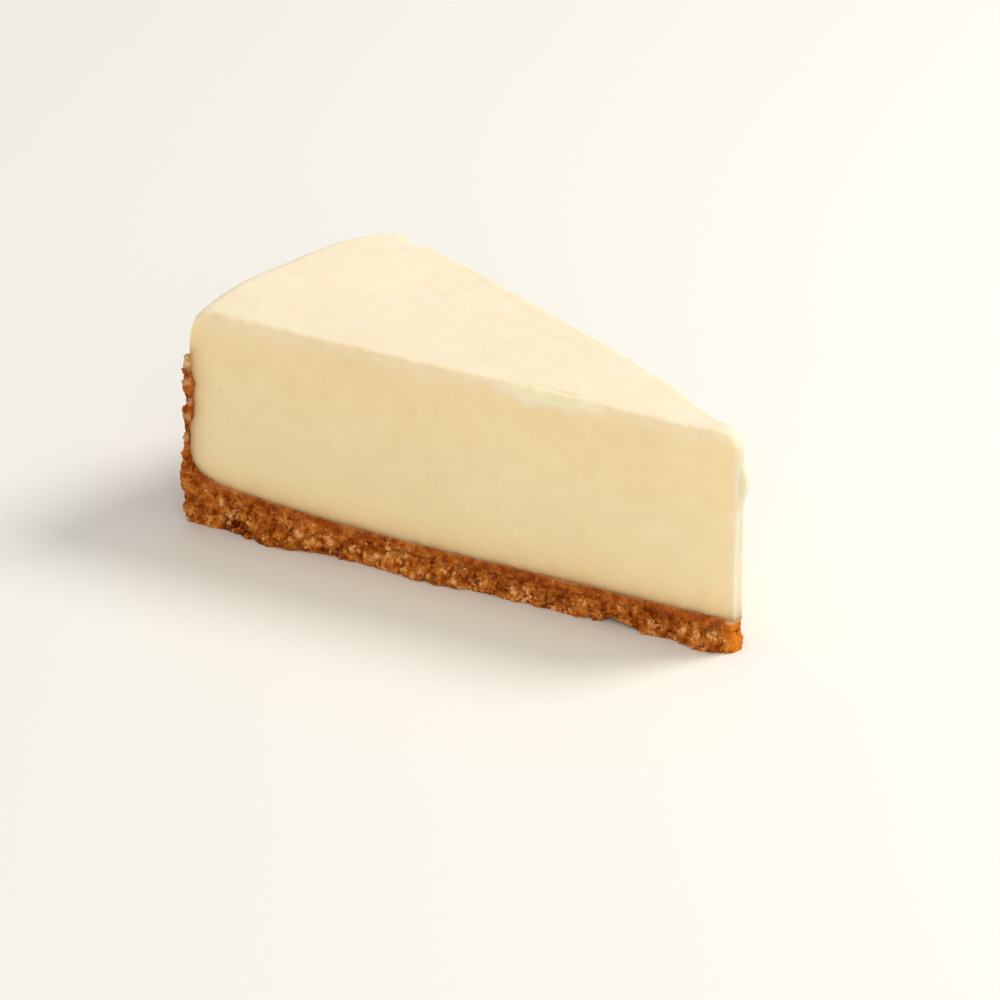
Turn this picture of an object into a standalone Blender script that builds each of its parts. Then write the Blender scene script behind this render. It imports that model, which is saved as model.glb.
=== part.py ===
"""A slice of baked cheesecake: a wedge of baked filling in a pressed crumb crust, standing on its base.

The slice is one sector of a round cake. Its tip points along +X, its rim lies towards -X, and it stands
on z = 0 with the middle of its box over the origin. The near cut faces -Y and the far cut faces +Y.
Places inside the slice are told by radius, side and z: the distance from the cake's centre, -1 at the
near cut to 1 at the far cut, and the height.
"""

import math

import bmesh
import bpy
from mathutils import Matrix, Vector, noise

MM = 0.001

# The round cake that the slice was cut from
CAKE_RADIUS = 127 * MM
CAKE_HEIGHT = 45.4 * MM
HALF_ANGLE = math.radians(13.05)
FAR_BOW = 2.6 * MM  # the far cut isn't straight: halfway along it stands out by this much

# Crumb crust
BASE_THICKNESS = 8 * MM
WALL_THICKNESS = 1.9 * MM
WALL_TOP = 35.8 * MM
CORNER_LENGTH = 16 * MM  # the crumb is pressed into the corner of the tin, wider than it is tall
CORNER_HEIGHT = 7.3 * MM
FOOT_SQUARENESS = 12  # power of the superellipse that rounds the crust's foot
BELLY = 1.1 * MM  # below the filling's corner the crust swells by this much
BELLY_Z = 10 * MM
BELLY_REACH = 11 * MM
CRUST_PROUD = 0.3 * MM  # the crumb stands this far out of the cut
CRUST_TIP_RADIUS = 1.7 * MM
LUMP = 0.6 * MM
LUMP_SIZE = 7 * MM
WALL_TOP_WAVE = 1.6 * MM
FOOT_RAGGED = 1.5 * MM  # how much of the lower edge has crumbled away

# Baked filling
GAP = 0.3 * MM  # between filling and crust
FILLING_TIP_RADIUS = 1.1 * MM
RIM_BULGE = 0.8 * MM  # just above the crust the filling swells outwards
RIM_BULGE_REACH = 3 * MM
RIM_ROLL_LENGTH = 4 * MM
RIM_ROLL_DROP = 2.8 * MM
RIM_RISE = 0.9 * MM  # away from the cuts the top rises towards the rim
RIM_RISE_REACH = 30 * MM
TIP_ROLL_LENGTH = 4.5 * MM
TIP_ROLL_DROP = 4 * MM
CUT_ROUNDING = 0.6 * MM
TOP_WAVE = 0.35 * MM
TOP_WAVE_SIZE = 28 * MM
FAR_CORNER_DENT = (118 * MM, 4 * MM, 1.2 * MM)  # radius, reach and depth of a chip in the far top edge
FAR_TIP_DENT = (18 * MM, 11 * MM, 0.8 * MM)

# Faces along, across and through each block
CRUST_FACES = (70, 14, 4)
FILLING_FACES = (42, 14, 9)
CROWDING = 0.85  # 0 spaces the faces evenly, 1 crowds them to the edges
BASE_SHARE = 0.72  # of the crust's faces along: the base, then the corner, then the wall
CORNER_SHARE = 0.14
SHARP_EDGE = math.radians(40)
WELD = 0.001 * MM

filling_radius = CAKE_RADIUS - WALL_THICKNESS - GAP


def tip_centre(tip_radius, proud):
    """Distance from the cake's centre to the middle of the circle that rounds the tip of a wedge
    whose cuts stand proud by this much."""
    return (tip_radius - proud) / math.sin(HALF_ANGLE)


crust_tip = tip_centre(CRUST_TIP_RADIUS, CRUST_PROUD) - CRUST_TIP_RADIUS
filling_tip = tip_centre(FILLING_TIP_RADIUS, 0) - FILLING_TIP_RADIUS
centre_x = (CAKE_RADIUS + BELLY + min(crust_tip, filling_tip)) / 2  # where the cake's centre stands


def crowded(share):
    """0 to 1, with steps that get finer towards both ends."""
    return share + CROWDING * ((1 - math.cos(math.pi * share)) / 2 - share)


def quarter(share):
    """0 to 1 along a quarter circle: it leaves level and arrives upright."""
    return 1 - math.sqrt(max(0.0, 1 - min(max(share, 0.0), 1.0) ** 2))


def bump(distance, reach):
    """1 at distance 0, falling smoothly to 0 at reach."""
    return (1 + math.cos(math.pi * min(1.0, abs(distance) / reach))) / 2


def lump(point, size, seed):
    """Smooth noise from about -1 to 1, whose bumps are as large as size."""
    return noise.noise(Vector(point) / size + Vector((seed, 0, 0)))


def half_angle_at(radius, tip_radius, proud):
    """Half of the wedge's angle at this radius."""
    centre = tip_centre(tip_radius, proud)
    if radius**2 >= centre**2 - tip_radius**2 + 2 * tip_radius * proud:
        return HALF_ANGLE + math.asin(proud / radius)
    return math.acos(min(1.0, (radius**2 + centre**2 - tip_radius**2) / (2 * radius * centre)))


def on_wedge(radius, side, z, tip_radius, proud=0.0):
    """The point at this radius, side and z of a wedge with a rounded tip."""
    angle = side * half_angle_at(radius, tip_radius, proud)
    along = min(1.0, radius / CAKE_RADIUS)
    bow = FAR_BOW * 4 * along * (1 - along) * (1 + side) / 2
    return Vector(
        (
            centre_x - radius * math.cos(angle) + bow * math.sin(HALF_ANGLE),
            radius * math.sin(angle) + bow * math.cos(HALF_ANGLE),
            z,
        )
    )


def outwards(side):
    """The level direction away from the cake's centre."""
    return Vector((-math.cos(side * HALF_ANGLE), math.sin(side * HALF_ANGLE), 0))


def block(name, faces, place):
    """A box of quads, with this many faces along, across and through, whose corners run from 0 to 1
    and are bent into shape by place."""
    along, across, through = faces
    mesh = bmesh.new()
    for z in (0, 1):
        lift = Matrix.Translation((0, 0, z))
        bmesh.ops.create_grid(mesh, x_segments=along, y_segments=across, size=0.5, matrix=lift)
    rim = [edge for edge in mesh.edges if edge.is_boundary and edge.verts[0].co.z == 0]
    for _ in range(through):  # the sides, drawn up from the lower grid's rim to the upper grid
        drawn = bmesh.ops.extrude_edge_only(mesh, edges=rim)["geom"]
        rim = [item for item in drawn if isinstance(item, bmesh.types.BMEdge)]
        corners = [item for item in drawn if isinstance(item, bmesh.types.BMVert)]
        bmesh.ops.translate(mesh, verts=corners, vec=(0, 0, 1 / through))
    for corner in mesh.verts:
        shares = corner.co + Vector((0.5, 0.5, 0))
        corner.co = place(*(round(share, 6) for share in shares))
    bmesh.ops.remove_doubles(mesh, verts=mesh.verts, dist=WELD)
    bmesh.ops.recalc_face_normals(mesh, faces=mesh.faces)
    data = bpy.data.meshes.new(name)
    mesh.to_mesh(data)
    mesh.free()
    data.shade_smooth()
    data.set_sharp_from_angle(angle=SHARP_EDGE)
    made = bpy.data.objects.new(name, data)
    bpy.context.scene.collection.objects.link(made)
    return made


def crust_section(along, depth):
    """(radius, z) in the crust's upright section. along runs from the tip over the base, round the
    corner and up the wall, and depth from the tin's side at 0 to the filling's side at 1."""
    inner_radius = CAKE_RADIUS - WALL_THICKNESS
    corner_radius = inner_radius - CORNER_LENGTH
    corner_z = BASE_THICKNESS + CORNER_HEIGHT
    if along < BASE_SHARE:
        share = 2 * crowded(along / BASE_SHARE / 2)  # finer steps at the tip only
        return crust_tip + (corner_radius - crust_tip) * share, depth * BASE_THICKNESS
    if along < BASE_SHARE + CORNER_SHARE:
        turn = (along - BASE_SHARE) / CORNER_SHARE * math.pi / 2
        power = 2 / FOOT_SQUARENESS
        inner = (
            corner_radius + CORNER_LENGTH * math.sin(turn),
            corner_z - CORNER_HEIGHT * math.cos(turn),
        )
        outer = (
            corner_radius + (CAKE_RADIUS - corner_radius) * math.sin(turn) ** power,
            corner_z * (1 - math.cos(turn) ** power),
        )
    else:
        share = (along - BASE_SHARE - CORNER_SHARE) / (1 - BASE_SHARE - CORNER_SHARE)
        z = corner_z + (WALL_TOP - corner_z) * share
        inner = (inner_radius, z)
        outer = (CAKE_RADIUS, z)
    return tuple(outer[i] + (inner[i] - outer[i]) * depth for i in range(2))


def crust_point(along, across, depth):
    """A corner of the crust: its section swept across the wedge, made lumpy where the crumb is bare."""
    radius, z = crust_section(along, depth)
    side = 2 * crowded(across) - 1
    point = on_wedge(radius, side, z, CRUST_TIP_RADIUS, CRUST_PROUD)
    swell = LUMP * (lump(point, LUMP_SIZE, 3.1) + 0.5 * lump(point, LUMP_SIZE / 2, 8.7))
    if across in (0, 1):  # a cut: the crumb stands out of it, least where it meets the filling
        towards = math.copysign(1, side)
        cut_normal = Vector((math.sin(HALF_ANGLE), towards * math.cos(HALF_ANGLE), 0))
        point += cut_normal * swell * (1 - 0.8 * depth)
        if depth == 0 and along < BASE_SHARE + CORNER_SHARE / 2:
            point.z = FOOT_RAGGED * max(0.0, lump(point, LUMP_SIZE, 5.3))
    if along > BASE_SHARE + CORNER_SHARE / 2:  # the side that the tin pressed
        belly = BELLY * bump(z - BELLY_Z, BELLY_REACH)
        point += outwards(side) * (belly + swell) * (1 - depth)
    if along == 1:
        point.z += WALL_TOP_WAVE * lump(point, 1.5 * LUMP_SIZE, 1.9)
    return point


def filling_floor(radius):
    """z of the filling's underside, which rises into the crust's rounded corner."""
    into_corner = (radius - (filling_radius - CORNER_LENGTH)) / CORNER_LENGTH
    return BASE_THICKNESS + GAP + CORNER_HEIGHT * quarter(into_corner)


def filling_top(radius, side):
    """z of the filling's top: rolled over at the rim and the tip, rounded and chipped at the cuts."""
    z = CAKE_HEIGHT - RIM_ROLL_DROP * quarter(1 - (filling_radius - radius) / RIM_ROLL_LENGTH)
    z += RIM_RISE * bump(filling_radius - radius, RIM_RISE_REACH) * (1 - side**2)
    z -= TIP_ROLL_DROP * quarter(1 - (radius - filling_tip) / TIP_ROLL_LENGTH)
    z -= CUT_ROUNDING * quarter(1 - radius * HALF_ANGLE * (1 - abs(side)) / CUT_ROUNDING)
    for where, reach, deep in (FAR_CORNER_DENT, FAR_TIP_DENT):
        to_far_cut = radius * HALF_ANGLE * (1 - side)
        z -= deep * bump(math.hypot(radius - where, to_far_cut), reach)
    return z


def filling_point(along, across, height):
    """A corner of the filling."""
    radius = filling_tip + (filling_radius - filling_tip) * crowded(along)
    side = 2 * crowded(across) - 1
    floor = filling_floor(radius)
    z = floor + (filling_top(radius, side) - floor) * height
    point = on_wedge(radius, side, z, FILLING_TIP_RADIUS)
    if along == 1:
        bulge_z = WALL_TOP + WALL_TOP_WAVE / 2 + RIM_BULGE_REACH
        point += outwards(side) * RIM_BULGE * bump(z - bulge_z, RIM_BULGE_REACH)
    point.z += TOP_WAVE * height * lump((point.x, point.y, 0), TOP_WAVE_SIZE, 2.4)
    return point


def painted(made, name, colour, roughness):
    """Gives the object a plain finish of this colour."""
    finish = bpy.data.materials.new(name)
    finish.use_nodes = True
    shader = finish.node_tree.nodes["Principled BSDF"]
    shader.inputs["Base Color"].default_value = (*colour, 1)
    shader.inputs["Roughness"].default_value = roughness
    shader.inputs["Metallic"].default_value = 0
    made.data.materials.append(finish)


def main():
    for old in list(bpy.data.objects):
        bpy.data.objects.remove(old)
    crust = block("crumb_crust", CRUST_FACES, crust_point)
    painted(crust, "toasted_crumb", (0.40, 0.15, 0.035), 0.85)
    filling = block("baked_filling", FILLING_FACES, filling_point)
    painted(filling, "baked_cream", (0.87, 0.72, 0.46), 0.45)


main()
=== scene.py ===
# %% [markdown]
# # A slice of baked cheesecake
#
# A tall wedge of dense baked filling sits in a crust of pressed biscuit crumb. The crust is a base under the
# filling and a thin wall up the outside of the cake. The knife left two flat cuts that meet in a thin tip.
#
# The solids of the slice are already made: `crumb_crust` and `baked_filling`. They are right in size and place,
# but plain. Here each gets a finely made piece that stands for it, and a finish that looks baked.

import math

import bpy
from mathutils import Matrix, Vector


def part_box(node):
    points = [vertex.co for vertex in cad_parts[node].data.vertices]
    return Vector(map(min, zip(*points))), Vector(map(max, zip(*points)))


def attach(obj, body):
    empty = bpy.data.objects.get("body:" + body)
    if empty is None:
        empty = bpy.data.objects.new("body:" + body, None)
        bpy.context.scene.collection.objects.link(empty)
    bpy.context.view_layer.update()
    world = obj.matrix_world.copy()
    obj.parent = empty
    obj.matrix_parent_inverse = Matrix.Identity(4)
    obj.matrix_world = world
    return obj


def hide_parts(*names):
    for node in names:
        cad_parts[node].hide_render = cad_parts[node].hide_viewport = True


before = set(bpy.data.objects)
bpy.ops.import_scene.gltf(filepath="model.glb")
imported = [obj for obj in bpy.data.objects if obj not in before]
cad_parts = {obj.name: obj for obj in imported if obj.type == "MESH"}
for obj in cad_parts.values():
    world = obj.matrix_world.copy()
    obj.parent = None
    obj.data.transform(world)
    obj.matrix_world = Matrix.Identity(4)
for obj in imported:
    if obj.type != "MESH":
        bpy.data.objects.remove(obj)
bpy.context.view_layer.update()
MM = 0.001
print("nodes:", sorted(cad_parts))

# %% [markdown]
# ## Writing nodes as sums
#
# The slice's shape and its finishes are both rules: "this far from the rim, go down by that much". Nodes can hold
# such rules, but a hundred Math nodes wired by hand can't be read. So one small class wraps a socket and lets
# plain Python sums add the nodes. `1 - share ** 2` becomes two Math nodes, already linked. The same class serves
# shapes and finishes, because Geometry Nodes and shaders share their Math nodes.

# %% A socket that can be reckoned with
class Value:
    """A socket of a node tree. Sums with it add the Math nodes that do them."""

    def __init__(self, recipe, socket):
        self.recipe = recipe
        self.socket = socket

    def sum(self, operation, *terms):
        """One Math node, or a Vector Math node where a term is a vector."""
        vectors = [term for term in terms if isinstance(term, Value) and term.socket.type == "VECTOR"]
        kind = "ShaderNodeVectorMath" if vectors else "ShaderNodeMath"
        return self.recipe.add(kind, {"operation": operation}, dict(enumerate(terms)))

    def __add__(self, other):
        return self.sum("ADD", self, other)

    def __radd__(self, other):
        return self.sum("ADD", other, self)

    def __sub__(self, other):
        return self.sum("SUBTRACT", self, other)

    def __rsub__(self, other):
        return self.sum("SUBTRACT", other, self)

    def __mul__(self, other):
        return self.sum("MULTIPLY", self, other)

    def __rmul__(self, other):
        return self.sum("MULTIPLY", other, self)

    def __truediv__(self, other):
        return self.sum("DIVIDE", self, other)

    def __rtruediv__(self, other):
        return self.sum("DIVIDE", other, self)

    def __pow__(self, other):
        return self.sum("POWER", self, other)

    def __abs__(self):
        return self.sum("ABSOLUTE", self)

    def sine(self):
        return self.sum("SINE", self)

    def cosine(self):
        return self.sum("COSINE", self)

    def root(self):
        return self.sum("SQRT", self)

    def arcsine(self):
        return self.sum("ARCSINE", self)

    def arccosine(self):
        return self.sum("ARCCOSINE", self)

    def up_to(self, limit):
        return self.sum("MINIMUM", self, limit)

    def at_least(self, limit):
        return self.sum("MAXIMUM", self, limit)

    def above(self, limit):
        """1 where the value is greater than the limit, 0 elsewhere."""
        return self.sum("GREATER_THAN", self, limit)

    def between(self, low, high):
        """0 below low, 1 above high, and a soft slope in between."""
        ramp = {"interpolation_type": "SMOOTHSTEP"}
        return self.recipe.add("ShaderNodeMapRange", ramp, {0: self, 1: low, 2: high})

    def mix(self, at_zero, at_one):
        """From one number to the other as this value goes from 0 to 1."""
        return at_zero + (at_one - at_zero) * self

    def output(self, name):
        """Another output of the node that this value comes from."""
        return Value(self.recipe, self.socket.node.outputs[name])


class Recipe:
    """A node tree being written."""

    def __init__(self, tree):
        self.tree = tree

    def add(self, kind, settings=None, sockets=None, output=0):
        """A node of this kind. Its settings go in first, then the values or links of its sockets."""
        made = self.tree.nodes.new(kind)
        for name, setting in (settings or {}).items():
            if name == "stops":
                self.fill_ramp(made.color_ramp, setting)
            else:
                setattr(made, name, setting)
        for key, value in (sockets or {}).items():
            self.fill_socket(made.inputs[key], value)
        return Value(self, made.outputs[output]) if made.outputs else made

    def fill_ramp(self, ramp, stops):
        while len(ramp.elements) < len(stops):
            ramp.elements.new(1)
        for element, (place, colour) in zip(ramp.elements, stops):
            element.position = place
            element.color = (*colour, 1)

    def fill_socket(self, socket, value):
        if isinstance(value, Value):
            self.tree.links.new(value.socket, socket)
        elif socket.type == "VECTOR" and isinstance(value, (int, float)):
            socket.default_value = (value, value, value)
        elif socket.type == "RGBA":
            socket.default_value = (*value, 1)
        else:
            socket.default_value = value

    def vector(self, x, y, z):
        return self.add("ShaderNodeCombineXYZ", None, {0: x, 1: y, 2: z})

    def blend(self, share, at_zero, at_one, settings=None):
        """From one colour to the other as share goes from 0 to 1."""
        kind = {"data_type": "RGBA"} | (settings or {})
        return self.add("ShaderNodeMix", kind, {0: share, 6: at_zero, 7: at_one}, output=2)

    def noise(self, place, size, detail=0.0, seed=0.0):
        """Smooth noise from -1 to 1, whose bumps are about as large as size."""
        sockets = {"Vector": place + (seed, seed, seed), "Scale": 1 / size, "Detail": detail}
        return self.add("ShaderNodeTexNoise", None, sockets) * 2 - 1

    def cells(self, place, size, seed=0.0, settings=None, sockets=None):
        """Cells about as large as size. The value is 0 in a cell's middle and grows outwards."""
        given = {"Vector": place + (seed, seed, seed), "Scale": 1 / size} | (sockets or {})
        return self.add("ShaderNodeTexVoronoi", settings, given)


# %% [markdown]
# ## A shape made by a modifier
#
# Geometry Nodes work inside a modifier. Each tree here has named inputs for its sizes, so the numbers can be
# changed in Blender's own panel too. When the shape is right, the modified object is turned into a plain mesh and
# the modifier is dropped.

# %% A tree with named inputs
SOCKET_KINDS = {
    float: "NodeSocketFloat",
    int: "NodeSocketInt",
    bpy.types.Material: "NodeSocketMaterial",
}


def start_shape(name, inputs):
    """A Geometry Nodes tree: (recipe, the incoming geometry, its named inputs, the way to end it)."""
    tree = bpy.data.node_groups.new(name, "GeometryNodeTree")
    tree.interface.new_socket("Geometry", in_out="INPUT", socket_type="NodeSocketGeometry")
    tree.interface.new_socket("Geometry", in_out="OUTPUT", socket_type="NodeSocketGeometry")
    for label, value in inputs.items():
        kind = next(kind for known, kind in SOCKET_KINDS.items() if isinstance(value, known))
        tree.interface.new_socket(label, in_out="INPUT", socket_type=kind)
    recipe = Recipe(tree)
    entry = recipe.add("NodeGroupInput")
    named = {label: entry.output(label) for label in inputs}
    return recipe, entry, named


def end_shape(recipe, geometry, finish):
    """The tree's last three nodes: realize, set the material, and hand the geometry out."""
    real = recipe.add("GeometryNodeRealizeInstances", None, {"Geometry": geometry})
    done = recipe.add("GeometryNodeSetMaterial", None, {"Geometry": real, "Material": finish})
    recipe.add("NodeGroupOutput", None, {"Geometry": done})


def make_piece(name, tree, inputs, start_from=None):
    """Runs the tree and returns its result as a plain mesh object. It starts from a copy of another
    piece's mesh, or from nothing."""
    mesh = start_from.data.copy() if start_from else bpy.data.meshes.new(name)
    maker = bpy.data.objects.new(name, mesh)
    bpy.context.scene.collection.objects.link(maker)
    modifier = maker.modifiers.new("Shape", "NODES")
    modifier.node_group = tree
    for item in tree.interface.items_tree:
        if item.in_out == "INPUT" and item.name in inputs:
            modifier[item.identifier] = inputs[item.name]
    evaluated = maker.evaluated_get(bpy.context.evaluated_depsgraph_get())
    made = bpy.data.meshes.new_from_object(evaluated)
    made.shade_smooth()
    maker.modifiers.remove(modifier)
    maker.data = made
    made.name = name
    print(f"{name}: {sum(len(face.vertices) - 2 for face in made.polygons)} triangles")
    return maker

# %% [markdown]
# ## The slice's own coordinates
#
# A cake is cut from its centre, so the easiest way to say where something is on a slice is:
# - `radius`, the distance from the cake's centre, which lies a little beyond the tip;
# - `side`, from -1 at the near cut to 1 at the far cut;
# - `z`, the height.
#
# Every shape below starts as a box of small faces and is bent into the wedge by one rule. A box always has its
# seams closed, and its faces can be crowded where the detail is. The rule also rounds the tip: where the wedge gets
# narrower than a small circle, the circle takes over.

# %% Sizes of the slice
CAKE_RADIUS = 127 * MM
HALF_ANGLE = math.radians(13.05)
FAR_BOW = 2.6 * MM  # the far cut stands out by this much halfway along
FILLING_TIP = 1.1 * MM
CRUST_TIP = 1.35 * MM

tip_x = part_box("baked_filling")[1][0]
centre_x = tip_x + FILLING_TIP / math.sin(HALF_ANGLE) - FILLING_TIP
print(f"the cake's centre is at x = {centre_x / MM:.1f} mm")


# %% The rules of the wedge
def crowded(share, strength):
    """0 to 1, with steps that get finer towards both ends."""
    return share + ((1 - (share * math.pi).cosine()) / 2 - share) * strength


def quarter(share):
    """0 to 1 along a quarter circle: it leaves level and arrives upright."""
    return 1 - (1 - share.at_least(0).up_to(1) ** 2).root()


def bump(distance, reach):
    """1 at distance 0, falling smoothly to 0 at reach."""
    return ((abs(distance) / reach).up_to(1) * math.pi).cosine() / 2 + 0.5


def on_wedge(recipe, radius, side, z, tip_radius, proud=0.0):
    """The point at this radius, side and z of a wedge whose tip is rounded and whose cuts stand proud."""
    circle_at = (tip_radius - proud) / math.sin(HALF_ANGLE)
    beyond_circle = (radius**2).above(circle_at**2 - tip_radius**2 + 2 * tip_radius * proud)
    on_cuts = (proud / radius).arcsine() + HALF_ANGLE
    cosine = (radius**2 + (circle_at**2 - tip_radius**2)) / (radius * (2 * circle_at))
    angle = side * beyond_circle.mix(cosine.up_to(1).arccosine(), on_cuts)
    along = (radius / CAKE_RADIUS).up_to(1)
    bow = along * (1 - along) * (1 + side) * (2 * FAR_BOW)
    x = centre_x - radius * angle.cosine() + bow * math.sin(HALF_ANGLE)
    y = radius * angle.sine() + bow * math.cos(HALF_ANGLE)
    return recipe.vector(x, y, z)


def keep(recipe, geometry, value, kind="VECTOR"):
    """Fixes a value to the points, so that it stays the same when they move: (geometry, the kept value)."""
    kept = recipe.add("GeometryNodeCaptureAttribute").socket.node
    kept.capture_items.new(kind, "Kept")
    recipe.fill_socket(kept.inputs[0], geometry)
    recipe.fill_socket(kept.inputs[1], value)
    return Value(recipe, kept.outputs[0]), Value(recipe, kept.outputs[1])


def box_of_faces(recipe, counts):
    """A box with this many corners each way: (its mesh, and how far each corner is along each way, 0 to 1).
    Its faces are turned round, because bending it into the wedge mirrors it."""
    corners = dict(zip(("Vertices X", "Vertices Y", "Vertices Z"), counts))
    mesh = recipe.add("GeometryNodeMeshCube", None, {"Size": (1, 1, 1)} | corners)
    mesh = recipe.add("GeometryNodeFlipFaces", None, {"Mesh": mesh})
    mesh, shares = keep(recipe, mesh, recipe.add("GeometryNodeInputPosition") + (0.5, 0.5, 0.5))
    where = recipe.add("ShaderNodeSeparateXYZ", None, {0: shares})
    return mesh, [where.output(axis) for axis in "XYZ"]


def move(recipe, geometry, to=None, by=None):
    """Puts the points to a place, or shifts them by an offset."""
    sockets = {"Geometry": geometry}
    if to:
        sockets["Position"] = to
    if by:
        sockets["Offset"] = by
    return recipe.add("GeometryNodeSetPosition", None, sockets)


def remember(recipe, geometry, name, value):
    """Keeps a number for every point under this name, for the finish to read."""
    sockets = {"Geometry": geometry, "Name": name, "Value": value}
    return recipe.add("GeometryNodeStoreNamedAttribute", {"domain": "POINT"}, sockets)

# %% [markdown]
# ## The filling
#
# The filling was poured on the crust, baked, chilled and cut. That gives it four kinds of surface:
# - a flat top with a skin, which swells towards the rim and rolls over at its edge;
# - two cut faces, smooth and almost flat, because the knife drags the soft cream along;
# - a rounded tip, the weakest place, which sinks a little;
# - an underside that follows the crust's rounded corner and is never seen.
#
# The top edge of the near cut isn't even. The knife pressed the skin down by different amounts, and for a stretch
# it left a thin lip with a groove behind it. A plain bevel would look machined, so the rounding is a sum that
# changes along the edge.

# %% Sizes of the filling
FILLING = {
    "Radius": 125.8 * MM,
    "Height": 45.4 * MM,
    "Tip Radius": FILLING_TIP,
    "Base Thickness": 6.35 * MM,
    "Rim Roll Length": 4 * MM,
    "Rim Roll Drop": 2.8 * MM,
    "Rim Rise": 1.75 * MM,
    "Rim Swell": 0.8 * MM,
    "Tip Roll Length": 4.5 * MM,
    "Tip Roll Drop": 4 * MM,
    "Edge Rounding": 0.8 * MM,
}
FILLING_CORNERS = (300, 72, 56)
EDGE_SLOPE = 0.9  # how far the rounding of an edge reaches inwards, for every millimetre that it drops
PRESSED_EDGES = [  # radius, reach, more rounding
    (18 * MM, 17 * MM, 0.7 * MM),
    (46 * MM, 17 * MM, 1.2 * MM),
    (68 * MM, 15 * MM, 0.6 * MM),
    (84 * MM, 16 * MM, 0.9 * MM),
    (108 * MM, 26 * MM, 0.9 * MM),
]
FAR_DENTS = [(125 * MM, 3 * MM, 0.8 * MM), (117.5 * MM, 5 * MM, 1.1 * MM), (18 * MM, 11 * MM, 0.8 * MM)]
LIP_FROM = 31 * MM
LIP_TO = 59 * MM
LET_IN = 0.8 * MM  # how far the filling reaches down into the crust, so that its lower edge doesn't show
WALL_TOP = 36 * MM


# %% The rules of its top and sides
def narrowing(z):
    """How much closer to the cake's centre the inside of the wall is at this height. The wall is thin above
    the corner, thick further up, and thin again at its top."""
    thick = z.between(20 * MM, 24 * MM) * (1.0 * MM) - z.between(9 * MM, 14 * MM) * (0.4 * MM)
    return thick * (1 - bump(z - 33.5 * MM, 3.5 * MM))


def crust_top(radius, base):
    """z of the line between crust and filling: level, then a long rise, then a tight turn up the wall."""
    long_rise = ((radius - 60 * MM) / (65 * MM)).at_least(0) ** 2.4 * (3.1 * MM)
    return base + long_rise + quarter((radius - 118.5 * MM) / (7 * MM)) * (4.6 * MM)


def top_edge(recipe, radius, side, plain):
    """How far the top edge of a cut is rounded at this radius."""
    edge = plain + (1 - side) * (0.1 * MM)
    for where, reach, more in PRESSED_EDGES:
        edge = edge + bump(radius - where, reach) * (1 - side) * (more / 2)
    ragged = recipe.noise(recipe.vector(radius, side * radius * HALF_ANGLE, 0), 5 * MM, 2, 1.7)
    chipped = recipe.noise(recipe.vector(radius, side * radius * HALF_ANGLE, 0), 1.8 * MM, 2, 4.2)
    return (edge * (1 + ragged * 0.7 + chipped * 0.35)).at_least(0.3 * MM)


def lip_at(radius):
    """1 along the stretch of the near cut where the knife left a lip of skin, 0 elsewhere."""
    return radius.between(LIP_FROM, LIP_FROM + 4 * MM) * (1 - radius.between(LIP_TO - 5 * MM, LIP_TO))


def top_height(recipe, radius, side, size):
    """(z of the filling's top, how much of that is lost to the rounded edge of a cut)."""
    from_rim = size["Radius"] - radius
    from_tip = radius - (size["Tip Radius"] / math.sin(HALF_ANGLE) - size["Tip Radius"])
    z = size["Height"] - size["Rim Roll Drop"] * quarter(1 - from_rim / size["Rim Roll Length"])
    z = z + size["Rim Rise"] * bump(from_rim, 32 * MM) * (1 - side**4)
    z = z - size["Tip Roll Drop"] * quarter(1 - from_tip / size["Tip Roll Length"])
    from_cut = radius * (1 - abs(side)) * HALF_ANGLE
    edge = top_edge(recipe, radius, side, size["Edge Rounding"])
    rounded_off = edge * quarter(1 - from_cut / (edge * EDGE_SLOPE))
    z = z - rounded_off
    for where, reach, deep in FAR_DENTS:
        from_far_cut = radius * (1 - side) * HALF_ANGLE
        z = z - bump(((radius - where) ** 2 + from_far_cut**2).root(), reach) * deep
    on_top = recipe.vector(radius, side * radius * HALF_ANGLE, 0)
    groove = bump(radius * (1 + side) * HALF_ANGLE - 1.5 * MM, 0.6 * MM) * lip_at(radius)
    groove = groove * (0.5 + recipe.noise(on_top, 4 * MM, 2, 4.1) * 1.6)
    z = z - groove.at_least(0) * (0.4 * MM)
    waves = recipe.noise(on_top, 26 * MM, 1, 2.4) * (0.45 * MM) + recipe.noise(on_top, 5 * MM, 2) * (0.05 * MM)
    return z + waves, rounded_off


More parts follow.
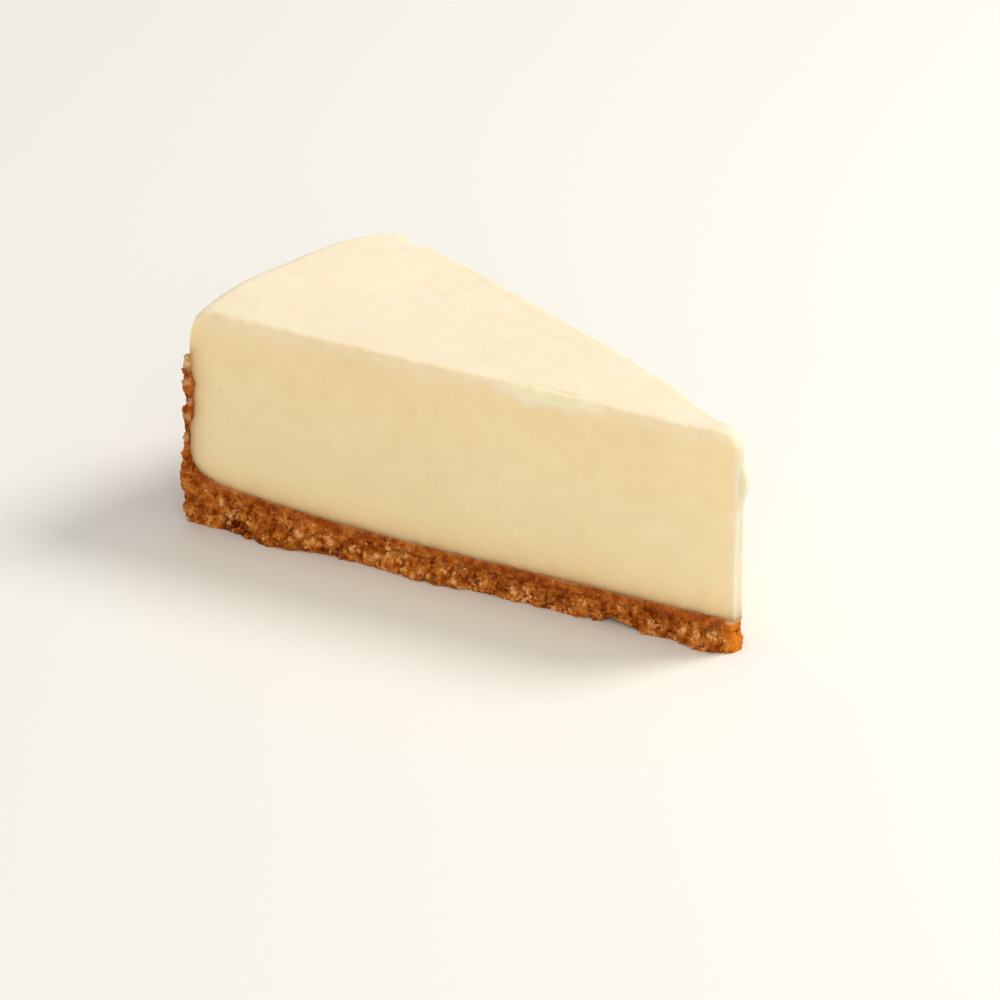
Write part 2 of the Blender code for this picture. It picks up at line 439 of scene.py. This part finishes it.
# %% Its tree
def filling_tree():
    recipe, _, size = start_shape("Filling", FILLING | {"Finish": cream_finish})
    mesh, (along, across, up) = box_of_faces(recipe, FILLING_CORNERS)
    tip = size["Tip Radius"] / math.sin(HALF_ANGLE) - size["Tip Radius"]
    radius = tip + 0.04 * MM + (size["Radius"] - tip) * crowded(along, 0.6)
    side = crowded(across, 0.9) * 2 - 1
    floor = crust_top(radius, size["Base Thickness"])
    top, rounded_off = top_height(recipe, radius, side, size)
    z = floor + (top - floor) * crowded(up, 0.8)
    near_rim = 1 - ((size["Radius"] - radius) / (8 * MM)).at_least(0).up_to(1)
    near_tip = 1 - radius.between(tip, tip + 6 * MM)
    swell = size["Rim Swell"] * bump(z - WALL_TOP - 1.5 * MM, 6 * MM) - narrowing(z)
    lean = (1 - z.between(18 * MM, 36 * MM)) * (0.5 * MM)
    spot = on_wedge(recipe, radius + swell * near_rim + lean * near_tip, side, z, size["Tip Radius"])
    shape = move(recipe, mesh, to=spot)

    place = recipe.add("GeometryNodeInputPosition")
    normal = recipe.add("GeometryNodeInputNormal")
    near = 1 - across.between(0, 0.001)
    beads = 0.7 + recipe.noise(place, 2.5 * MM, 2, 3.4)
    lip = near * lip_at(radius) * bump(top - z - 0.9 * MM, 1.3 * MM) * beads * (0.16 * MM)
    drip = bump(z - 35 * MM, 5 * MM) * (1 - radius.between(4.2 * MM, 9 * MM)) * side.between(-1.3, 0.7)
    wander = (recipe.noise(place, 16 * MM, 1, 6.2) * 0.12 + recipe.noise(place, 3.5 * MM, 2, 8.8) * 0.05) * MM
    from_wall = ((size["Radius"] - radius) ** 2 + (z - WALL_TOP).at_least(0) ** 2).root()
    from_crust = (z - floor - LET_IN / 2).at_least(0).up_to(from_wall)
    tucked = (1 - (z - floor).between(0, 0.35 * MM)) * (0.5 * MM)
    wander = wander * from_crust.between(0, 3 * MM)
    shape = move(recipe, shape, by=normal * (lip + drip * (1.2 * MM) + wander - tucked))

    top_face = up.between(0.999, 1)
    on_top = top_face * rounded_off.between(0.1 * MM, 0.9 * MM).mix(1, 0.5)
    streaks = recipe.noise(recipe.vector(radius, across * 2, 0), 6 * MM, 3, 5.1) + 1
    dragged = (1 - (top - z).between(-0.8 * MM, 2.4 * MM * streaks)) * lip_at(radius).mix(0.75, 1)
    at_tip = 1 - radius.between(tip, tip + 2 * MM)
    rolled = top_face * rounded_off.between(0.1 * MM, 0.6 * MM) * (1 - side) * 0.6
    # Along the lip the skin share goes past 1. The skin that the knife dragged down is real. The part above 1 is a
    # painted highlight: a paler band where the ribbon and the rounded top of the edge catch the light.
    lip_skin_and_painted_highlight = (dragged * near * 0.9).at_least(rolled)
    shape = remember(recipe, shape, "skin", on_top.at_least(dragged) + lip_skin_and_painted_highlight * lip_at(radius))
    shape = remember(recipe, shape, "at_tip", at_tip)
    shape = remember(recipe, shape, "from_crust", from_crust)
    end_shape(recipe, shape, size["Finish"])
    return recipe.tree


# %% [markdown]
# ### What baked cream looks like
#
# Baked cream is dense and pale. Light goes a little way in and comes out again, which rounds its edges and warms
# its shadows, so the finish scatters light below the surface. The colour is told by where a point is:
# - the skin is the palest, and slightly glossy from the fat that rose to it;
# - a cut shows the inside, which is yellower, with soft blotches and a few specks;
# - close to the crust the cream has drunk some of the brown butter.

# %% The cream's finish
def start_finish(name, **constants):
    """A material with these constants on its shader: (recipe, where a point is in the piece, the shader)."""
    finish = bpy.data.materials.new(name)
    finish.use_nodes = True
    shader = finish.node_tree.nodes["Principled BSDF"]
    recipe = Recipe(finish.node_tree)
    for label, value in constants.items():
        shader.inputs[label.replace("_", " ")].default_value = value
    place = recipe.add("ShaderNodeTexCoord", output="Object")
    return recipe, place, shader, finish


def kept_number(recipe, name):
    return recipe.add("ShaderNodeAttribute", {"attribute_name": name}, output="Fac")


SOAKED_REACH = 6 * MM
SOAKED = [  # how far from the crust, as a share of that reach, and how much of the cream's colour is left there
    (0.00, (0.64, 0.36, 0.22)),
    (0.05, (0.72, 0.48, 0.35)),
    (0.12, (0.79, 0.63, 0.51)),
    (0.22, (0.86, 0.78, 0.70)),
    (0.34, (0.91, 0.87, 0.80)),
    (0.55, (0.97, 0.95, 0.92)),
    (1.00, (1.0, 1.0, 1.0)),
]


def cream():
    recipe, place, shader, finish = start_finish(
        "Baked cream", Subsurface_Weight=1.0, Subsurface_Radius=(1.0, 0.7, 0.4), Subsurface_Scale=1.7 * MM
    )
    skin = kept_number(recipe, "skin")
    from_crust = kept_number(recipe, "from_crust")
    blotch = recipe.noise(place, 24 * MM, 2, 3.1) * 0.9 + 0.5
    curd = recipe.noise(place, 4 * MM, 3, 7.3)
    inside = recipe.blend(blotch, (0.90, 0.715, 0.40), (0.94, 0.765, 0.45))
    outside = recipe.blend(blotch, (0.885, 0.755, 0.53), (0.915, 0.795, 0.585))
    z = recipe.add("ShaderNodeSeparateXYZ", None, {0: place}, output="Z")
    inside = recipe.blend(bump(z - 23 * MM, 17 * MM) * 0.6, inside, (0.90, 0.765, 0.49))
    colour = recipe.blend(skin, inside, outside)
    # Painted highlight: where the share is above 1, along the lip, the colour goes paler than the skin, for the
    # ribbon catching the light.
    colour = recipe.blend((skin - 1).at_least(0), colour, (0.97, 0.86, 0.60))
    # Painted sheen: at the rounded tip the cream is less saturated, standing in for the lamp's whitish sheen on its
    # end.
    colour = recipe.blend(kept_number(recipe, "at_tip"), colour, (0.80, 0.745, 0.57))
    colour = recipe.blend((curd * 0.35 + 0.1).at_least(0), colour, (0.80, 0.62, 0.33))
    smears = recipe.noise(place, 3 * MM, 3, 5.5) * (0.5 * MM)
    soaked = recipe.add("ShaderNodeValToRGB", {"stops": SOAKED}, {0: (from_crust + smears) / SOAKED_REACH})
    colour = recipe.blend(1.0, colour, soaked, {"blend_type": "MULTIPLY"})
    speck = recipe.cells(place, 17 * MM, 2.2)
    speck = 1 - (speck + curd * 0.02).between(0.015, 0.06)
    colour = recipe.blend(speck * 0.2, colour, (0.62, 0.44, 0.19))
    recipe.fill_socket(shader.inputs["Base Color"], colour)
    sheen = recipe.noise(place, 9 * MM, 3, 1.2) * 0.08
    recipe.fill_socket(shader.inputs["Roughness"], skin.up_to(1).mix(0.55, 0.42) + sheen)
    pores = recipe.cells(place, 1.5 * MM, 4.4, {"feature": "SMOOTH_F1"}, {"Smoothness": 0.3})
    height = pores.between(0.0, 0.28) * 0.35 + recipe.noise(place, 0.7 * MM, 3, 9.1) * 0.3
    height = height + recipe.noise(place, 5 * MM, 2, 6.4) * 0.8
    dimple = recipe.add("ShaderNodeBump", None, {"Strength": 0.35, "Distance": 0.25 * MM, "Height": height})
    recipe.fill_socket(shader.inputs["Normal"], dimple)
    return finish


cream_finish = cream()
filling = make_piece("cheesecake_filling", filling_tree(), FILLING | {"Finish": cream_finish})
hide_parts("baked_filling")
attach(filling, "root")
print("filling box in mm:", [round(number / MM, 1) for number in filling.dimensions])

# %% [markdown]
# ## The crust
#
# Biscuit crumb and butter were pressed into the tin by hand and baked. The knife went through it, but crumb doesn't
# cut: it breaks. So its faces are made in three steps, from large to small:
# - a core with the crust's shape, lumpy where crumb clung together and hollow where a lump fell out of the foot;
# - broken crumbs that stand out of it;
# - fine crumb and sugar grains on top.
#
# The core is again a bent box. Its length follows the L of the crust: along the base, around the corner, up the
# wall. Lumps are noise, and so are the rounded humps between them. They fade out where the crust meets the
# filling, because there it was pressed smooth and stuck.

# %% Sizes of the crust
CRUST = {
    "Cake Radius": 126.8 * MM,
    "Tip Radius": CRUST_TIP,
    "Base Thickness": 7.2 * MM,
    "Corner Length": 16 * MM,
    "Wall Thickness": 1.3 * MM,
    "Wall Top": 35.2 * MM,
    "Belly": 1.2 * MM,
    "Lumps": 0.5 * MM,
    "Clumps": 1.5 * MM,
    "Humps": 0.8 * MM,
    "Grain": 0.3 * MM,
}
CRUST_CORNERS = (480, 66, 26)
BASE_SHARE = 0.67  # of the box's length
CORNER_SHARE = 0.20
FOOT_ROUNDING = 2 * MM
FOOT_HOLLOWS = [  # radius, reach, how deep, how far the foot is lifted
    (115.4 * MM, 5 * MM, 2.4 * MM, 0),
    (30 * MM, 5 * MM, 0.9 * MM, 1.2 * MM),
]
FOOT_BULGES = [  # radius, reach, how far the foot stands out
    (110 * MM, 10 * MM, 1.5 * MM),
    (102 * MM, 8 * MM, 1.5 * MM),
    (73 * MM, 13 * MM, 1.5 * MM),
    (32 * MM, 9 * MM, -0.8 * MM),
    (11 * MM, 8 * MM, 1.9 * MM),
]
STANDS_PROUD = 0.12 * MM
FLAKES = [  # radius, z, half the length, half the height of a pale flake in the near cut
    (43.4 * MM, 5.9 * MM, 2.2 * MM, 0.55 * MM),
    (115.5 * MM, 4.9 * MM, 0.8 * MM, 0.8 * MM),
    (121 * MM, 2.6 * MM, 1.1 * MM, 0.9 * MM),
    (96.8 * MM, 2.1 * MM, 1.5 * MM, 0.9 * MM),
    (94.2 * MM, 3.4 * MM, 1.9 * MM, 0.7 * MM),
    (89.2 * MM, 2.8 * MM, 1.2 * MM, 0.8 * MM),
    (85.6 * MM, 2.2 * MM, 1.0 * MM, 0.8 * MM),
    (83.2 * MM, 2.7 * MM, 1.0 * MM, 0.9 * MM),
    (74.6 * MM, 1.1 * MM, 0.8 * MM, 0.7 * MM),
    (65.6 * MM, 1.5 * MM, 1.2 * MM, 0.7 * MM),
    (52.6 * MM, 2.2 * MM, 1.2 * MM, 0.8 * MM),
    (45.2 * MM, 1.2 * MM, 1.3 * MM, 0.7 * MM),
]
SMEARS = [(30 * MM, 1.6 * MM), (25.6 * MM, 1.6 * MM), (22.6 * MM, 1.9 * MM), (18 * MM, 2.2 * MM)]  # z, reach


# %% The crust's core
def part_of(share, start, length):
    """0 to 1 over one part of a way, held at its ends."""
    return ((share - start) / length).at_least(0).up_to(1)


def crust_section(recipe, along, up, size):
    """(radius, z, depth below the filling) in the L: up goes from its outside at 0 to its inside at 1."""
    tip = size["Tip Radius"] / math.sin(HALF_ANGLE) - size["Tip Radius"]
    corner_at = size["Cake Radius"] - size["Wall Thickness"] - size["Corner Length"]
    base = tip + (corner_at - tip) * part_of(along, 0, BASE_SHARE)
    turn = part_of(along, BASE_SHARE, CORNER_SHARE)
    out = size["Corner Length"] + size["Wall Thickness"]
    inner_radius = base + size["Corner Length"] * (turn * (math.pi / 2)).sine()
    rise = crust_top(size["Cake Radius"] - size["Wall Thickness"], size["Base Thickness"])
    outer_way = turn * (out + rise)
    climb = part_of(along, BASE_SHARE + CORNER_SHARE, 1 - BASE_SHARE - CORNER_SHARE) * (size["Wall Top"] - rise)
    outer_radius = base + recipe.add("ShaderNodeMath", {"operation": "SMOOTH_MIN"}, {0: outer_way, 1: out, 2: FOOT_ROUNDING})
    outer_z = recipe.add("ShaderNodeMath", {"operation": "SMOOTH_MAX"}, {0: outer_way - out, 1: 0, 2: FOOT_ROUNDING}) + climb
    inner_z = crust_top(inner_radius, size["Base Thickness"]) + climb
    inner_radius = inner_radius - narrowing(inner_z)
    belly = size["Belly"] * bump(outer_z - 9.5 * MM, 8.5 * MM) * part_of(along, BASE_SHARE + CORNER_SHARE / 2, 0.05)
    outer_radius = outer_radius + belly + bump(outer_z - 20 * MM, 6 * MM) * (0.6 * MM)
    thickness = ((outer_radius - inner_radius) ** 2 + (outer_z - inner_z) ** 2).root()
    return up.mix(outer_radius, inner_radius), up.mix(outer_z, inner_z), (1 - up) * thickness


def crust_core_tree():
    recipe, _, size = start_shape("Crust core", CRUST | {"Finish": crumb_finish})
    mesh, (along, across, up) = box_of_faces(recipe, CRUST_CORNERS)
    side = across * 2 - 1
    radius, z, under = crust_section(recipe, along, up, size)
    place = recipe.vector(radius, side * radius * HALF_ANGLE, z)
    wave = recipe.noise(place, 5 * MM, 1, 3.3) * (0.35 * MM) + recipe.noise(place, 1.3 * MM, 2, 5.2) * (0.3 * MM)
    wave = wave.at_least(-0.2 * MM)
    on_cut = (abs(side) - 0.85).at_least(0) / 0.15
    frayed = recipe.noise(place, 6 * MM, 2, 9.9).between(0.2, 0.8) * (0.8 * MM)
    lost = lifted = along * 0
    for where, reach, deep, lift in FOOT_HOLLOWS:
        hollow = bump(radius - where + recipe.noise(place, 3 * MM, 1, 0.7) * (1.5 * MM), reach) * (1 - across) ** 6
        lost = lost + hollow * deep
        lifted = lifted + hollow * lift
    ragged = recipe.noise(recipe.vector(0, side * radius * HALF_ANGLE, 0), 3.5 * MM, 3, 5.9) * (1.1 * MM)
    z = z + wave * up + (frayed * on_cut + lifted) * (1 - up) ** 3 + ragged * part_of(along, 0.9, 0.1) * (1 - on_cut)
    shape = move(recipe, mesh, to=on_wedge(recipe, radius, side, z, size["Tip Radius"], STANDS_PROUD))

    place = recipe.add("GeometryNodeInputPosition")
    warped = place + recipe.vector(*(recipe.noise(place, 1.8 * MM, 1, seed) for seed in (1.3, 4.9, 7.1))) * (0.7 * MM)
    rounded = {"feature": "SMOOTH_F1"}, {"Smoothness": 0.12}
    lumps = recipe.noise(place, 6.5 * MM, 1, 2.7)
    clumps = recipe.cells(warped, 3.2 * MM, 6.3, *rounded)
    humps = recipe.cells(warped, 1.5 * MM, 1.1, *rounded)
    grain = recipe.noise(place, 0.8 * MM, 2, 8.1)
    relief = lumps * size["Lumps"] + (0.5 - clumps) * size["Clumps"]
    relief = relief + (0.5 - humps) * size["Humps"] + grain * size["Grain"]
    sliced = relief.up_to(0.5 * MM + grain * (0.15 * MM)) - lost * bump(up - 0.17, 0.22)
    on_near = 1 - across.between(0, 0.01)
    flake = along * 0
    for where, high, long, tall in FLAKES:
        off = (radius - where) / long, (z - high - (radius - where) * 0.16) / tall
        flake = flake.at_least(1 - (off[0] ** 2 + off[1] ** 2).root().between(0.6, 1.1))
    flake = flake * on_near
    bulge = 0.6 * MM + flake * (0.3 * MM)
    for where, reach, out in FOOT_BULGES:
        bulge = bulge + bump(radius - where, reach) * out * (1 - across.between(0.1, 0.5))
    bulge = bulge * (1 - up.between(0, 0.75)) * on_cut
    tip = size["Tip Radius"] / math.sin(HALF_ANGLE) - size["Tip Radius"]
    on_tip = 1 - radius.between(tip, tip + 3 * MM)
    bulge = bulge * (1 - on_tip * 0.8)
    on_wall = part_of(along, BASE_SHARE + CORNER_SHARE / 4, CORNER_SHARE / 2)
    on_wall_top = on_wall * z.between(22 * MM, 32 * MM)
    eased = (1 - under.between(0, on_wall.mix(0.8 * MM, 0.4 * MM))) * on_cut * (0.35 * MM)
    relief = on_cut.at_least(on_tip).mix(relief.at_least(-0.7 * MM), sliced) * (1 - (on_wall_top + on_tip) * 0.4)
    relief = relief.at_least(under.between(0.5 * MM, 3 * MM).mix(-0.25 * MM, -3 * MM))
    loose = under.between(1.2 * MM, 4 * MM).mix(0.35, 1).at_least(on_wall) * under.between(0, 0.5 * MM)
    normal = recipe.add("GeometryNodeInputNormal")
    shape = move(recipe, shape, by=normal * (relief * loose + bulge - eased))
    spot = recipe.add("ShaderNodeSeparateXYZ", None, {0: recipe.add("GeometryNodeInputPosition")})
    shape = move(recipe, shape, to=recipe.vector(spot, spot.output("Y"), spot.output("Z").at_least(0)))

    low_wall = 1 - z.between(18 * MM, 30 * MM) * 0.6
    patchy = recipe.noise(place, 5 * MM, 2, 4.6).between(-0.35, 0.15).mix(0.25, 1)
    outside = (1 - up.between(0, 0.25)) * on_wall
    thick = under.between(1 * MM, 4 * MM).at_least(outside * 0.8)
    bare = on_cut.at_least(on_wall * low_wall) * thick.mix(0.15, 1) * patchy
    crumbly = (on_cut * under.between(4.5 * MM, 6 * MM) * 0.6).at_least(on_wall * low_wall * 0.7)
    crumbly = crumbly * (1 - on_near * on_wall)
    shape = remember(recipe, shape, "bare", bare * (1 - up.between(0.9, 1)) * (1 - flake))
    shape = remember(recipe, shape, "crumbly", crumbly * patchy)
    # The relief is kept as depth. The finish uses it to paint shade into the recesses and light onto the humps.
    shape = remember(recipe, shape, "depth", relief * loose / size["Humps"])
    shape = remember(recipe, shape, "under", under + outside * (1 - on_near) * (4 * MM))
    at_tip = 1 - radius.between(tip, tip + 2.4 * MM)
    creamy = 0.55 - under.between(-0.4 * MM, on_wall.mix(1.1 * MM, 0.3 * MM)) * 0.55
    creamy = creamy.at_least(at_tip * (1 - under.between(0.8 * MM, 1.6 * MM)))
    smeared = recipe.noise(place, 3 * MM, 2, 7.9).between(0.2, 0.6) * (z - 14 * MM).between(0, 12 * MM) * 0.7
    for where, reach in SMEARS:
        patch = bump(z - where, reach) + recipe.noise(place, 1.3 * MM, 2, 8.3) * 0.9
        smeared = smeared.at_least(patch.between(0.3, 0.9) * under.between(0.4 * MM, 0.9 * MM) * on_near * on_wall)
    creamy = creamy.at_least(smeared * 0.6)
    creamy = creamy.at_least(z.between(size["Wall Top"] - 3 * MM, size["Wall Top"] - 1 * MM) * on_near * 1.3)
    creamy = creamy.at_least(part_of(along, 0.97, 0.02) * up.between(0.1, 0.6) * 0.7)
    shape = remember(recipe, shape, "tone", flake * 0.75)
    shape = remember(recipe, shape, "creamy", creamy)
    shape = remember(recipe, shape, "at_tip", at_tip)
    end_shape(recipe, shape, size["Finish"])
    return recipe.tree


# %% The crumb's finish
TOASTED = [  # from dark caramel to pale biscuit
    (0.00, (0.20, 0.030, 0.001)),
    (0.28, (0.41, 0.090, 0.005)),
    (0.55, (0.57, 0.160, 0.016)),
    (0.80, (0.73, 0.260, 0.042)),
    (1.00, (0.92, 0.480, 0.200)),
]


def crumb():
    recipe, place, shader, finish = start_finish(
        "Toasted crumb", Subsurface_Weight=0.15, Subsurface_Radius=(1.0, 0.5, 0.2), Subsurface_Scale=0.6 * MM,
        Specular_IOR_Level=0.06,
    )
    depth = kept_number(recipe, "depth")
    under = kept_number(recipe, "under")
    tone = kept_number(recipe, "tone")
    chance = recipe.add("ShaderNodeSeparateXYZ", None, {0: recipe.cells(place, 1.2 * MM, 3.9).output("Color")})
    # Painted highlights: small bright spots lift the tone below and stand in for buttery glints of light on the
    # crumb. The same noise also makes them glossier and jitters the edge of the baked-in band.
    painted_glints = recipe.noise(place, 0.7 * MM, 3, 4.8)
    mottled = recipe.noise(place, 6 * MM, 3, 2.2) * 0.5 + recipe.noise(place, 2 * MM, 2, 5.7) * 0.95
    baked_in = 1 - (under + painted_glints * (0.5 * MM)).between(1.4 * MM, 3.6 * MM)
    # Besides the crumb's own mottling, the tone is painted lighter where the relief stands out and darker where it
    # sinks: painted light and shade.
    tone = 0.49 + mottled + painted_glints * 0.35 + (chance - 0.5) * 0.25 + tone * 0.5 + depth * 0.1 - baked_in * 0.15
    colour = recipe.add("ShaderNodeValToRGB", {"stops": TOASTED}, {0: tone})
    colour = recipe.blend(baked_in * 0.4, colour, (0.45, 0.088, 0.007))
    # Painted light: the tip of the crust is painted a brighter orange, standing in for the lamp light that falls on
    # its thin end and shines through it.
    at_tip = kept_number(recipe, "at_tip")
    colour = recipe.blend(at_tip * 0.65, colour, (0.92, 0.28, 0.012))
    creamy = kept_number(recipe, "creamy") + recipe.noise(place, 1.5 * MM, 3, 3.6) * 0.3
    colour = recipe.blend(creamy, colour, (0.80, 0.50, 0.23))
    # Painted shade: a crack at a fixed depth, noise pits and the sunken parts of the relief are painted almost black,
    # for the shade inside them. The bump below also dips there.
    crack = bump(under - 2.7 * MM + recipe.noise(place, 4 * MM, 2, 3.8) * (0.5 * MM), 0.35 * MM)
    crack = crack * recipe.noise(place, 5 * MM, 2, 6.1).between(-0.05, 0.15)
    pits = 1 - (recipe.noise(place, 0.9 * MM, 3, 7.2) * 0.9 + depth * 0.6).between(-0.6, -0.15)
    hollow = (pits * 0.85).at_least(crack * 0.7)
    colour = recipe.blend(hollow, colour, (0.13, 0.02, 0.001))
    recipe.fill_socket(shader.inputs["Base Color"], colour)
    recipe.fill_socket(shader.inputs["Roughness"], 0.65 - painted_glints * 0.2)
    height = recipe.noise(place, 0.45 * MM, 4, 6.6) + recipe.noise(place, 1.5 * MM, 2, 1.9) - hollow * 1.0
    rough = recipe.add("ShaderNodeBump", None, {"Strength": 0.8, "Distance": 0.35 * MM, "Height": height})
    recipe.fill_socket(shader.inputs["Normal"], rough)
    return finish


crumb_finish = crumb()
crust = make_piece("crust_core", crust_core_tree(), CRUST | {"Finish": crumb_finish})
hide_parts("crumb_crust")
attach(crust, "root")
print("crust box in mm:", [round(number / MM, 1) for number in crust.dimensions])

# %% [markdown]
# ### Crumbs
#
# A crumb is a lump that broke, so no two are alike, but none needs to be drawn by hand. The core remembers where it
# is bare. A tree scatters points there, puts a small ball on each, squashes and turns each ball its own way, and
# then pushes all their corners about with one noise. The balls become broken lumps. They sink partly into the core,
# or they would look glued on.
#
# There are two kinds: coarse crumb as large as a lentil, and fine crumb like coarse sugar. Each is one piece.

# %% A tree that scatters crumbs
COARSE = {
    "Per Square Millimetre": 0.07,
    "Smallest": 1.1 * MM,
    "Largest": 2.4 * MM,
    "Sunk": 0.2,
    "Roughness": 0.34,
    "Subdivisions": 2,
    "Seed": 5,
}
FINE = {
    "Per Square Millimetre": 2.7,
    "Smallest": 0.4 * MM,
    "Largest": 1.3 * MM,
    "Sunk": 0.1,
    "Roughness": 0.3,
    "Subdivisions": 1,
    "Seed": 11,
}


def random_number(recipe, low, high, seed, kind="FLOAT"):
    keys = {"FLOAT": ("Min", "Max"), "FLOAT_VECTOR": ("Min", "Max")}[kind]
    node = recipe.add("FunctionNodeRandomValue", {"data_type": kind}).socket.node
    for name, value in zip(keys, (low, high)):
        recipe.fill_socket(next(s for s in node.inputs if s.name == name and s.enabled), value)
    recipe.fill_socket(next(s for s in node.inputs if s.name == "Seed"), seed)
    return Value(recipe, next(s for s in node.outputs if s.enabled))


def crumbs_tree(name, inputs, where):
    recipe, entry, size = start_shape(name, inputs | {"Finish": crumb_finish})
    bare = recipe.add("GeometryNodeInputNamedAttribute", {"data_type": "FLOAT"}, {"Name": where})
    density = size["Per Square Millimetre"] * bare / MM**2
    spread = {"Mesh": entry.output("Geometry"), "Density": density, "Seed": size["Seed"]}
    points = recipe.add("GeometryNodeDistributePointsOnFaces", None, spread)
    normal = points.output("Normal")
    chance = random_number(recipe, 0.0, 1.0, 1)
    width = size["Smallest"] + (size["Largest"] - size["Smallest"]) * chance**2
    points = remember(recipe, points, "tone", random_number(recipe, -0.45, 0.55, 2))
    # Crumbs get a depth as if they stand out, so the finish paints them lighter and with little painted shade.
    points = remember(recipe, points, "depth", random_number(recipe, -0.1, 0.8, 3))
    points = move(recipe, points, by=normal * (width * size["Sunk"] * -1))
    ball = recipe.add("GeometryNodeMeshIcoSphere", None, {"Radius": 0.5, "Subdivisions": size["Subdivisions"]})
    squash = random_number(recipe, (0.65, 0.65, 0.65), (1.15, 1.15, 1.15), 4, "FLOAT_VECTOR")
    turn = random_number(recipe, (0, 0, 0), (math.tau, math.tau, math.tau), 6, "FLOAT_VECTOR")
    turn = recipe.add("FunctionNodeEulerToRotation", None, {0: turn})
    placed = {"Points": points, "Instance": ball, "Rotation": turn, "Scale": squash * width}
    crumbs = recipe.add("GeometryNodeInstanceOnPoints", None, placed)
    crumbs = recipe.add("GeometryNodeRealizeInstances", None, {"Geometry": crumbs})
    place = recipe.add("GeometryNodeInputPosition")
    reach = size["Largest"] * 0.6
    push = recipe.vector(*(recipe.noise(place, reach, 1, seed) for seed in (3.1, 7.7, 9.4)))
    crumbs = move(recipe, crumbs, by=push * (size["Largest"] * size["Roughness"]))
    spot = recipe.add("ShaderNodeSeparateXYZ", None, {0: recipe.add("GeometryNodeInputPosition")})
    crumbs = move(recipe, crumbs, to=recipe.vector(spot, spot.output("Y"), spot.output("Z").at_least(0)))
    end_shape(recipe, crumbs, size["Finish"])
    return recipe.tree


for name, sizes, where in (("coarse_crumb", COARSE, "crumbly"), ("fine_crumb", FINE, "bare")):
    crumbs = make_piece(name, crumbs_tree(name, sizes, where), sizes | {"Finish": crumb_finish}, crust)
    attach(crumbs, "root")

# %% [markdown]
# ## Floor, light and camera
#
# Pale food needs soft light. A bright, even room fills the cut face from the front, one large lamp behind and to
# the right lifts the top and draws the shadow forward, and a weaker lamp at the front keeps the crumb's colour
# alive. The floor is a warm white, so it throws warm light up at the crust.

# %% Floor
FLOOR_REACH = 3.0
FLOOR_COLOUR = (0.87, 0.84, 0.77, 1)

corners = [(-FLOOR_REACH, -FLOOR_REACH, 0), (FLOOR_REACH, -FLOOR_REACH, 0)]
corners += [(FLOOR_REACH, FLOOR_REACH, 0), (-FLOOR_REACH, FLOOR_REACH, 0)]
floor_mesh = bpy.data.meshes.new("floor")
floor_mesh.from_pydata(corners, [], [(0, 1, 2, 3)])
floor = bpy.data.objects.new("floor", floor_mesh)
bpy.context.scene.collection.objects.link(floor)
_, _, shader, floor_finish = start_finish("Pale floor", Base_Color=FLOOR_COLOUR, Roughness=0.6)
floor_mesh.materials.append(floor_finish)

# %% Light
ROOM_BRIGHTNESS = 0.6


def lamp(name, place, aim, width, watts, colour=(1, 1, 1)):
    """A round, soft lamp at a place, aimed at a point."""
    light = bpy.data.lights.new(name, "AREA")
    light.shape = "DISK"
    light.size = width
    light.energy = watts
    light.color = colour
    made = bpy.data.objects.new(name, light)
    bpy.context.scene.collection.objects.link(made)
    made.location = place
    made.rotation_euler = (Vector(aim) - Vector(place)).to_track_quat("-Z", "Y").to_euler()


room = bpy.data.worlds.new("Bright room")
room.use_nodes = True
room.node_tree.nodes["Background"].inputs["Color"].default_value = (1, 1, 1, 1)
room.node_tree.nodes["Background"].inputs["Strength"].default_value = ROOM_BRIGHTNESS
bpy.context.scene.world = room
lamp("Key", (0.35, 0.60, 0.80), (0, 0, 0.02), 0.45, 7)
lamp("Front fill", (0.75, -0.75, 0.45), (0, 0, 0.02), 0.6, 3.2, (1.0, 0.98, 0.95))

# %% Camera
AIM = Vector((1.94, -2.34, 14.09)) * MM
DISTANCE = 1.6
AZIMUTH = math.radians(43.28)
ELEVATION = math.radians(24.23)
LENS = 296.7  # mm, on a sensor 36 mm wide

level = math.cos(ELEVATION)
back = Vector((math.sin(AZIMUTH) * level, -math.cos(AZIMUTH) * level, math.sin(ELEVATION)))
lens = bpy.data.cameras.new("Camera")
lens.sensor_width = 36
lens.lens = LENS
camera = bpy.data.objects.new("Camera", lens)
bpy.context.scene.collection.objects.link(camera)
camera.location = AIM + back * DISTANCE
camera.rotation_euler = (-back).to_track_quat("-Z", "Y").to_euler()
bpy.context.scene.camera = camera
bpy.context.scene.view_settings.view_transform = "Standard"
